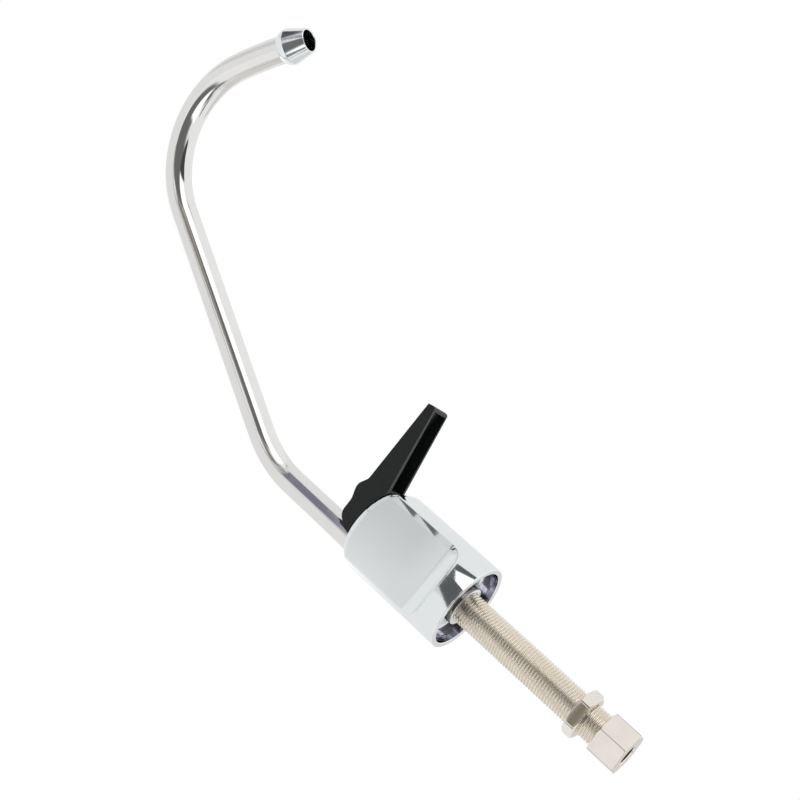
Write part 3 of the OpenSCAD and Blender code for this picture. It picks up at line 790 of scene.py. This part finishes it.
def lever_top(y, size):
    """Height of the lever's top: flat arm, finger bump, heel and the slanted end of the tip"""
    behind = y > -size.bump_front
    base = size.heel_rise if behind else 0
    run = size.bump_back_run if behind else size.bump_front_run
    share = math.cos(math.pi / 2 * min(1, abs(y + size.bump_front) / run)) ** 2
    top = size.arm_top + base + (size.bump_rise - base) * share
    end = size.heel_top - size.heel_round
    if y > end:
        heel = size.arm_top + size.heel_rise
        slant = (size.heel_back - size.heel_top) / (heel - size.rock_height)
        turn = math.pi / 2 - math.atan(slant)
        if y < end + size.heel_round * math.sin(turn):
            top = heel - size.heel_round + math.sqrt(size.heel_round ** 2 - (y - end) ** 2)
        else:
            top = size.rock_height + (size.heel_back - y) / slant
    nose = lever_nose(size)[1]
    slope = (size.arm_top - nose) / size.tip_slant
    return float(soft_min(top, nose + (y + size.reach) * slope, 0.5 * size.edge))


def lever_nose(size):
    """Slope of the underside and height of the nose"""
    slant = math.atan((size.arm_top - size.tip_thick - size.rock_height) / (size.reach - size.rock_front))
    run = (size.reach - size.rock_front - size.nose_round * (1 - math.sin(slant))) / math.cos(slant)
    return slant, size.rock_height + run * math.sin(slant) + size.nose_round * math.cos(slant)


def lever_bottom(y, size):
    """Height of the lever's underside: rocking edge, sloping arm and rounded nose"""
    slant, nose = lever_nose(size)
    ahead = y + size.reach
    if ahead < size.nose_round * (1 - math.sin(slant)):
        return nose - math.sqrt(max(0, size.nose_round ** 2 - (size.nose_round - ahead) ** 2))
    return size.rock_height + max(0, -size.rock_front - y) * math.tan(slant)


def lever_section(y, size):
    """Points (x, z, painted edge highlight) round the lever at y, a box with rounded corners"""
    top, low = lever_top(y, size), lever_bottom(y, size)
    share = min(1, max(0, (-size.rock_front - y) / (size.reach - size.rock_front)))
    half = size.heel_half + (size.tip_half - size.heel_half) * share
    short = max(0, size.corner - (y + size.reach))
    half -= size.corner - math.sqrt(max(0, size.corner ** 2 - short ** 2))
    r = min(size.edge, 0.45 * (top - low))
    points = []
    for side, up, start in ((1, 1, 90), (1, -1, 0), (-1, -1, -90), (-1, 1, -180)):
        cx, cz = side * (half - r), (top - r if up > 0 else low + r)
        for k in range(7):
            a = math.radians(start - 15 * k)
            # Painted highlight on the lower corners only, strongest at their middle
            edge_light = 0.0 if up > 0 else math.sin(math.pi * k / 6)
            points.append((cx + r * math.cos(a), cz + r * math.sin(a), edge_light))
        if side * up > 0:
            points.append((side * half, (top + low) / 2, 0.0))
    return points


def lever_stations(size):
    """Places along the lever from the nose to the heel, where its sections stand"""
    near = 0.02 * MM
    turn = 1 - np.cos(np.linspace(0, math.pi / 2, 13))
    stations = list(-size.reach + near + size.nose_round * turn)
    ends = (-size.rock_front, size.heel_top - size.heel_round, size.heel_back - near)
    for end, steps in zip(ends, (24, 60, 24)):
        stations += list(np.linspace(stations[-1], end, steps)[1:])
    return stations


class TAP_OT_lever(bpy.types.Operator):
    """Moulded lever with a finger bump, rounded edges, a saddle over the dome and a forked heel"""

    bl_idname = "tap.lever"
    bl_label = "Lever"

    def execute(self, context):
        scene = context.scene
        size, body, spout = scene.tap_lever, scene.tap_body, scene.tap_spout
        sections = [[(x, y, z, edge_light) for x, z, edge_light in lever_section(y, size)]
                    for y in lever_stations(size)]
        points = [point for section in sections for point in section]
        around = len(sections[0])
        faces = [tuple(range(around)), tuple(range(len(points) - around, len(points)))]
        for k in range(0, len(points) - around, around):
            for i in range(around):
                j = (i + 1) % around
                faces.append((k + i, k + j, k + around + j, k + around + i))
        obj = new_piece("lever_moulding", [point[:3] for point in points], faces, moulded_black(),
                        math.radians(50))
        # Painted highlight on the lever's lower edges
        mark(obj, "edge_wear", [point[3] for point in points])
        saddle_gap, fork_gap, eye_gap, eye_swing = 0.6 * MM, 0.5 * MM, 0.5 * MM, 0.85 * MM
        crown_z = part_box("body")[1].z - body.crown_radius
        saddle = ball_tool(body.crown_radius + saddle_gap, (0, body.crown_back, crown_z))
        fork = cylinder_tool(spout.radius + fork_gap, size.rock_height - 5 * MM, size.arm_top + 9 * MM,
                             Matrix.Translation((0, spout.back, 0)))
        eye_low, eye_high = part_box("stem_eye")
        pocket = box_tool((eye_low.x - eye_gap, eye_low.y - eye_gap / 2, size.rock_height - eye_gap),
                          (eye_high.x + eye_gap, eye_high.y + eye_swing + eye_gap, eye_high.z + eye_gap))
        side = size.tip_half - size.wall
        hollow = box_tool((-side, -size.reach + size.tip_slant + size.wall, 0),
                          (side, -size.rock_front - size.hollow_stop, size.arm_top - size.roof))
        pin_low, pin_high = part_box("lever_pin")
        pin_mid = (pin_low + pin_high) / 2
        along = Matrix.Translation((0, pin_mid.y, pin_mid.z)) @ Matrix.Rotation(math.pi / 2, 4, "Y")
        pin_r = (pin_high.z - pin_low.z) / 2 + PLAY
        hole = cylinder_tool(pin_r, pin_low.x, 20 * MM, along, 32)
        cut(obj, hollow, saddle, fork, pocket, hole)
        smooth(obj.data, math.radians(42))
        weigh_normals(obj)
        take_over(obj, "lever_arm", "black_plastic", "lever")
        return {"FINISHED"}


# Shank and nuts


def thread_tree():
    """Geometry nodes: a right-hand thread with flattened crests and a depth attribute"""
    t, source = geometry_tree("cut_thread", "Thread", Blank="Geometry", Crest="Float", Root="Float",
                              Pitch="Float", Flat="Float", Low="Float", High="Float", Columns="Int",
                              Rows="Int", Finish="Material")
    low, pitch, flat, root = (source[key] for key in ("Low", "Pitch", "Flat", "Root"))
    counts = {"Vertices X": t.math("ADD", source["Columns"], 1), "Vertices Y": source["Rows"]}
    grid = t.add("GeometryNodeMeshGrid", {"Size X": 1.0, "Size Y": 1.0, **counts}).outputs["Mesh"]
    part = t.split(t.add("GeometryNodeInputPosition").outputs[0])
    u = t.math("ADD", part["X"], 0.5)
    v = t.math("ADD", part["Y"], 0.5)
    height = t.math("ADD", low, t.product(v, t.math("SUBTRACT", source["High"], low)))
    phase = t.math("SUBTRACT", t.math("DIVIDE", height, pitch), u)
    saw = t.product(t.math("PINGPONG", phase, 0.5), 2.0)
    shape = t.ramp(saw, flat, t.math("SUBTRACT", 1.0, flat), kind="LINEAR")
    lead = t.ramp(t.math("SUBTRACT", height, low), 0.0, pitch, kind="LINEAR")
    depth = t.math("SUBTRACT", source["Crest"], root)
    radius = t.math("ADD", root, t.product(shape, lead, depth))
    around = t.product(u, 2 * math.pi)
    x, y = (t.product(radius, t.math(wave, around)) for wave in ("COSINE", "SINE"))
    where = t.add("ShaderNodeCombineXYZ", {"X": x, "Y": y, "Z": height}).outputs[0]
    # Depth into the root, where the finish paints shade
    root_shade = {"Geometry": grid, "Name": "thread_depth", "Value": t.math("SUBTRACT", 1.0, shape)}
    marked = t.add("GeometryNodeStoreNamedAttribute", root_shade, data_type="FLOAT", domain="POINT").outputs[0]
    bent = t.add("GeometryNodeSetPosition", {"Geometry": marked, "Position": where}).outputs[0]
    sewn = t.add("GeometryNodeMergeByDistance", {"Geometry": bent, "Distance": 1e-6}).outputs[0]
    return end_tree(t, "Thread", sewn, source["Finish"])


def polar(vert):
    return math.atan2(vert.co.y, vert.co.x)


def line_shank(bm, rings):
    """Closes the thread's two ends with turned rings from the lower end round to the upper one"""
    ends = {v for e in bm.edges if e.is_boundary for v in e.verts}
    middle = sum(v.co.z for v in ends) / len(ends)
    first = sorted((v for v in ends if v.co.z < middle), key=polar)
    last = sorted((v for v in ends if v.co.z >= middle), key=polar)
    angles = [polar(v) for v in first]
    loops = [[bm.verts.new(ring_point(r, a, z)) for a in angles] for r, z in rings]
    loops = [first, *loops, last]
    for one, two in zip(loops, loops[1:]):
        for i in range(len(one)):
            j = (i + 1) % len(one)
            bm.faces.new((one[i], one[j], two[j], two[i]))


class TAP_OT_shank(bpy.types.Operator):
    """Threaded shank with its water way, supply socket and the collar that locks it"""

    bl_idname = "tap.shank"
    bl_label = "Shank and collar"

    def execute(self, context):
        size = context.scene.tap_shank
        low, high = (corner.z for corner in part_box("shank"))
        collar_low, collar_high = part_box("shank_collar")
        mesh = bpy.data.meshes.new("shank_thread")
        mesh.from_pydata([(0, 0, 0)], [], [])
        obj = in_scene("shank_thread", mesh)
        rows = int((collar_high.z - low) / size.pitch * size.rows)
        run_tree(obj, thread_tree(), Crest=size.crest, Root=size.root, Pitch=size.pitch, Flat=size.flat,
                 Low=low, High=collar_high.z, Columns=size.columns, Rows=rows,
                 Finish=finish("nickel_thread"))
        supply_r, way_r, supply_end = 3.25 * MM, 2.25 * MM, low + 12 * MM
        chamfer, top_chamfer = 0.4 * MM, 0.3 * MM
        rings = [(supply_r + chamfer, low), (supply_r, low + chamfer), (supply_r, supply_end),
                 (way_r, supply_end), (way_r, high), (size.crest - top_chamfer, high),
                 (size.crest, high - top_chamfer), (size.crest, collar_high.z + chamfer)]
        outward(obj.data, lambda bm: line_shank(bm, rings))
        smooth(obj.data, math.radians(40))
        take_over(obj, "tap_body", "nickel", "shank")
        r, hole, bevel, steps = collar_high.x, size.crest + PLAY, 0.2 * MM, 96
        profile = [(hole, collar_high.z), (hole, collar_low.z), (r - bevel, collar_low.z),
                   (r, collar_low.z + bevel), (r, collar_high.z)]
        collar = turned("shank_lock_collar", profile, steps, finish("collar_plate"))
        # Painted shade on the collar's side; the lower face gets the plated colour
        mark(collar, "lower_face", [0.0, 1.0, 1.0, 0.0, 0.0] * steps)
        take_over(collar, "tap_body", "chrome", "shank_collar")
        return {"FINISHED"}


def hexagon_nut(name, apothem, low, high, bore, turn, chamfer_r, steps, power):
    """Hexagon nut with chamfered corners, softened edges and a countersunk bore

    The higher the power, the sharper the corners.
    """
    soft, lip, fall = 0.1 * MM, 0.35 * MM, math.tan(math.radians(30))
    verts, dark = [], []
    for a in turns(steps):
        total = sum(max(0.0, math.cos(a - turn - k * math.pi / 3)) ** power for k in range(6))
        r = apothem * total ** (-1 / power)
        drop, face_r = max(0.0, r - chamfer_r) * fall, min(chamfer_r, r)
        profile = [(bore, high - lip), (bore + lip, high), (face_r - soft, high),
                   (face_r, high - 0.4 * soft), (r - 0.4 * soft, high - drop - 0.4 * soft),
                   (r, high - drop - 1.6 * soft), (r, low + drop + 1.6 * soft),
                   (r - 0.4 * soft, low + drop + 0.4 * soft), (face_r, low + 0.4 * soft),
                   (face_r - soft, low), (bore + lip, low), (bore, low + lip)]
        verts += [ring_point(q, a, z) for q, z in profile]
        # Painted dark reflection along each of the six corners
        away = abs((math.degrees(a - turn) + 60) % 60 - 30)
        dark += [max(0.0, 1 - away / 2) if 3 < k < 8 else 0.0 for k in range(len(profile))]
    obj = new_piece(name, verts, ring_faces(steps, len(profile)), finish("nickel_plate"), math.radians(24))
    mark(obj, "corner", dark)
    weigh_normals(obj)
    return obj


class TAP_OT_nuts(bpy.types.Operator):
    """Locknut and compression nut on the shank"""

    bl_idname = "tap.nuts"
    bl_label = "Nuts"

    def execute(self, context):
        low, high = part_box("locknut")
        bore, chamfer_r = context.scene.tap_shank.crest - 0.25 * MM, high.x - 0.02 * MM
        lock = hexagon_nut("locknut_hexagon", high.x, low.z, high.z, bore, 0.0, chamfer_r,
                           steps=180, power=70)
        take_over(lock, "lock_nut", "nickel", "locknut")
        low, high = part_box("compression_nut")
        apothem, bore, chamfer_r, turn = 6.75 * MM, 3.25 * MM, 7.25 * MM, math.radians(43)
        nut = hexagon_nut("compression_hexagon", apothem, low.z, high.z, bore, turn, chamfer_r,
                          steps=360, power=160)
        take_over(nut, "supply_nut", "nickel", "compression_nut")
        return {"FINISHED"}


class TAP_OT_inside(bpy.types.Operator):
    """Finishes of the valve, seals, spring, pin, swivel and sleeve inside the tap"""

    bl_idname = "tap.inside"
    bl_label = "Inner pieces"

    def execute(self, context):
        kinds = {
            "inner_brass": ("valve_seat", "valve_stem", "stem_eye", "spout_foot", "compression_sleeve"),
            "inner_steel": ("washer_screw", "return_spring", "lever_pin", "spout_clip"),
            "inner_rubber": ("shank_seal", "seat_washer", "stem_seal", "spout_seal_lower",
                             "spout_seal_upper"),
            "inner_white": ("stem_guide",),
        }
        for kind, names in kinds.items():
            for name in names:
                slots = NODES[name].data.materials
                slots.clear()
                slots.append(finish(kind))
        return {"FINISHED"}


# Studio: directions in degrees of turn, from -X towards -Y, and of rise

# Turn and its half width, rise and its half height, soft edge and colour
PATCHES = {
    "strip_light": (49.5, 16.5, -8.0, 23.5, 2.0, (1.3, 1.3, 1.3)),
    "low_light": (-46.0, 20.0, -53.0, 21.0, 4.0, (1.3, 1.3, 1.3)),
    "back_light": (-134.0, 16.0, 40.0, 18.0, 4.0, (1.2, 1.2, 1.2)),
    "low_gap": (54.0, 23.0, -53.0, 21.0, 3.0, (0.06, 0.06, 0.06)),
    "high_gap": (29.0, 29.0, 25.4, 2.2, 0.8, (0.19, 0.18, 0.24)),
    "near_gap": (13.0, 9.0, 12.6, 5.4, 2.0, (0.26, 0.235, 0.2)),
    "nut_gap": (-10.0, 6.0, 10.2, 1.7, 0.5, (0.2, 0.18, 0.135)),
    "back_floor": (-135.0, 48.0, -18.0, 18.0, 5.0, (0.7, 0.69, 0.68)),
    "nozzle_low": (-78.0, 11.0, -35.0, 8.0, 3.0, (0.25, 0.25, 0.25)),
}
NOZZLE_DARK = (0.06, 0.06, 0.072)
TEETH_DARK = (0.13, 0.135, 0.135)
BELT_DARK = (0.1, 0.103, 0.107)
PANE_LIGHT = (1.4, 1.4, 1.4)
LOW_WALL, ROOM = 0.9, 0.15


def wall_level(t, turn, rise):
    """Grey of the tent's walls, the part that a flat mirrors and the darker room below"""
    level = t.math("ADD", t.ramp(turn, -13.0, -7.5, 0.82, 0.68), t.ramp(turn, 20.0, 90.0, 0.0, 0.15))
    level = t.blend(t.ramp(rise, 14.0, 17.0, 1.0, 0.0), level, LOW_WALL)
    on_flat = t.product(t.window(rise, 18.6, 19.0, 24.0, 25.5), t.window(turn, -16.0, -12.0, -5.0, -1.0))
    flat_tone = t.blend(t.ramp(rise, 19.2, 20.9), 0.72, t.ramp(turn, -13.4, -8.6, 0.79, 0.60))
    level = t.blend(on_flat, level, flat_tone)
    lean = t.product(t.math("MAXIMUM", t.math("SUBTRACT", 15.0, rise), 0.0), 1.1)
    room = t.product(t.ramp(t.math("ADD", turn, lean), -25.0, -13.0), t.ramp(turn, 32.0, 35.0, 1.0, 0.0),
                     t.window(rise, -70.0, -50.0, 5.0, 9.0))
    return t.blend(room, level, ROOM)


def dark_marks(t, turn, rise, tone):
    """Gaps that the nozzle, the rolled edge of a flat and the skirt mirror, and a bright pane"""
    above = t.band(t.math("MULTIPLY_ADD", turn, -0.4, rise), 30.5, 5.5, 1.5)
    tone = t.tint(t.product(above, t.band(turn, 48.0, 41.0, 3.0)), tone, NOZZLE_DARK)
    saw = t.math("FRACT", t.math("DIVIDE", t.math("SUBTRACT", rise, 20.2), 1.32))
    past = t.math("SUBTRACT", turn, t.math("MULTIPLY_ADD", saw, 40.0, -3.0))
    teeth = t.product(t.ramp(past, -3.0, 5.0), t.ramp(turn, 32.0, 36.0, 1.0, 0.0))
    tone = t.tint(t.product(teeth, t.band(rise, 21.5, 1.3, 0.06)), tone, TEETH_DARK)
    share = t.math("DIVIDE", t.math("SUBTRACT", rise, 17.5), 1.05)
    belt = t.band(rise, 18.05, 0.62, 0.04)
    shade = t.product(belt, t.between(turn, share, (-22.5, 25.8), (81.0, -7.0)))
    tone = t.tint(shade, tone, BELT_DARK)
    pane_top = t.math("ADD", 0.05, t.product(turn, 0.0153))
    pane = t.product(t.between(turn, share, (33.5, 7.8), (72.4, -16.1)),
                     t.ramp(t.math("SUBTRACT", share, pane_top), -0.03, 0.03, 1.0, 0.0), belt)
    return t.tint(pane, tone, PANE_LIGHT)


def studio_world():
    """Bright tent with dark gaps and strip lights; white where the camera looks at it"""
    world = bpy.data.worlds.new("studio")
    bpy.context.scene.world = world
    world.use_nodes = True
    world.node_tree.nodes.clear()
    t = Tree(world.node_tree)
    part = t.split(t.add("ShaderNodeTexCoord").outputs["Generated"])
    turn = t.math("DEGREES", t.math("ARCTAN2", t.product(part["Y"], -1.0), t.product(part["X"], -1.0)))
    rise = t.math("DEGREES", t.math("ARCSINE", part["Z"]))
    level = wall_level(t, turn, rise)
    tone = t.add("ShaderNodeCombineColor", {"Red": level, "Green": level, "Blue": level}).outputs[0]
    for turn_at, turn_half, rise_at, rise_half, soft, tint in PATCHES.values():
        patch = t.product(t.band(turn, turn_at, turn_half, soft), t.band(rise, rise_at, rise_half, soft))
        tone = t.tint(patch, tone, tint)
    tone = dark_marks(t, turn, rise, tone)
    around = t.add("ShaderNodeBackground", {"Color": tone, "Strength": 1.0}).outputs[0]
    behind = t.add("ShaderNodeBackground", {"Color": (1, 1, 1, 1), "Strength": 1.0}).outputs[0]
    seen = t.add("ShaderNodeLightPath").outputs["Is Camera Ray"]
    both = t.add("ShaderNodeMixShader", {0: seen, 1: around, 2: behind}).outputs[0]
    t.add("ShaderNodeOutputWorld", {"Surface": both})


def studio_floor(height):
    """Plain pale floor, kept out of the reflections"""
    half = 4.0
    corners = [(x, y, height) for x, y in ((-half, -half), (half, -half), (half, half), (-half, half))]
    floor = new_piece("studio_floor", corners, [(0, 1, 2, 3)], finish("studio_floor"))
    if floor.data.polygons[0].normal.z < 0:
        floor.data.flip_normals()
    floor.visible_glossy = False


def soft_light(name, place, target, size, power):
    """Round soft light, kept out of the reflections"""
    data = bpy.data.lights.new(name, "AREA")
    data.shape = "DISK"
    data.size = size
    data.energy = power
    lamp = in_scene(name, data)
    lamp.location = place
    lamp.rotation_mode = "QUATERNION"
    lamp.rotation_quaternion = (Vector(target) - Vector(place)).to_track_quat("-Z", "Y")
    lamp.visible_glossy = False


class TAP_OT_stage(bpy.types.Operator):
    """Camera at the photograph's angle, soft light, bright surroundings and a pale floor"""

    bl_idname = "tap.stage"
    bl_label = "Studio"

    def execute(self, context):
        data = bpy.data.cameras.new("camera")
        data.sensor_width = 36
        data.lens = 55.60
        data.clip_start = 0.01
        camera = in_scene("camera", data)
        right = Vector((0.378341, -0.616479, -0.690516))
        down = Vector((0.218274, 0.784346, -0.580653))
        ahead = Vector((0.899564, 0.068963, 0.431311))
        turn = Matrix((right, -down, -ahead)).transposed()
        camera.matrix_world = Matrix.Translation((-0.372963, -0.065407, -0.114978)) @ turn.to_4x4()
        context.scene.camera = camera
        context.scene.view_settings.view_transform = "Standard"
        studio_world()
        floor_gap = 0.2
        studio_floor(CAD_BOX[0][2] - floor_gap)
        soft_light("top_light", place=(-0.25, -0.35, 0.75), target=(0, -0.03, 0.05), size=0.5, power=3.0)
        return {"FINISHED"}


class TAP_PT_tap(bpy.types.Panel):
    """Lists the tap's pieces"""

    bl_idname = "TAP_PT_tap"
    bl_label = "Drinking Water Tap"
    bl_space_type = "VIEW_3D"
    bl_region_type = "UI"
    bl_category = "Tap"

    def draw(self, context):
        for piece in PIECES:
            self.layout.operator(piece.bl_idname)
        for name in GROUPS:
            box = self.layout.box()
            box.label(text=GROUPS[name].__doc__)
            group = getattr(context.scene, name)
            for key in group.__annotations__:
                box.prop(group, key)


PIECES = (TAP_OT_stage, TAP_OT_body, TAP_OT_spout, TAP_OT_lever, TAP_OT_shank, TAP_OT_nuts, TAP_OT_inside)
CLASSES = (*GROUPS.values(), *PIECES, TAP_PT_tap)


def register():
    for cls in CLASSES:
        bpy.utils.register_class(cls)
    for name, cls in GROUPS.items():
        setattr(bpy.types.Scene, name, PointerProperty(type=cls))


def unregister():
    for name in GROUPS:
        delattr(bpy.types.Scene, name)
    for cls in reversed(CLASSES):
        bpy.utils.unregister_class(cls)


def main():
    register()
    bpy.ops.tap.stage()
    bpy.ops.tap.body()
    bpy.ops.tap.spout()
    bpy.ops.tap.lever()
    bpy.ops.tap.shank()
    bpy.ops.tap.nuts()
    bpy.ops.tap.inside()


if __name__ == "__main__":
    main()
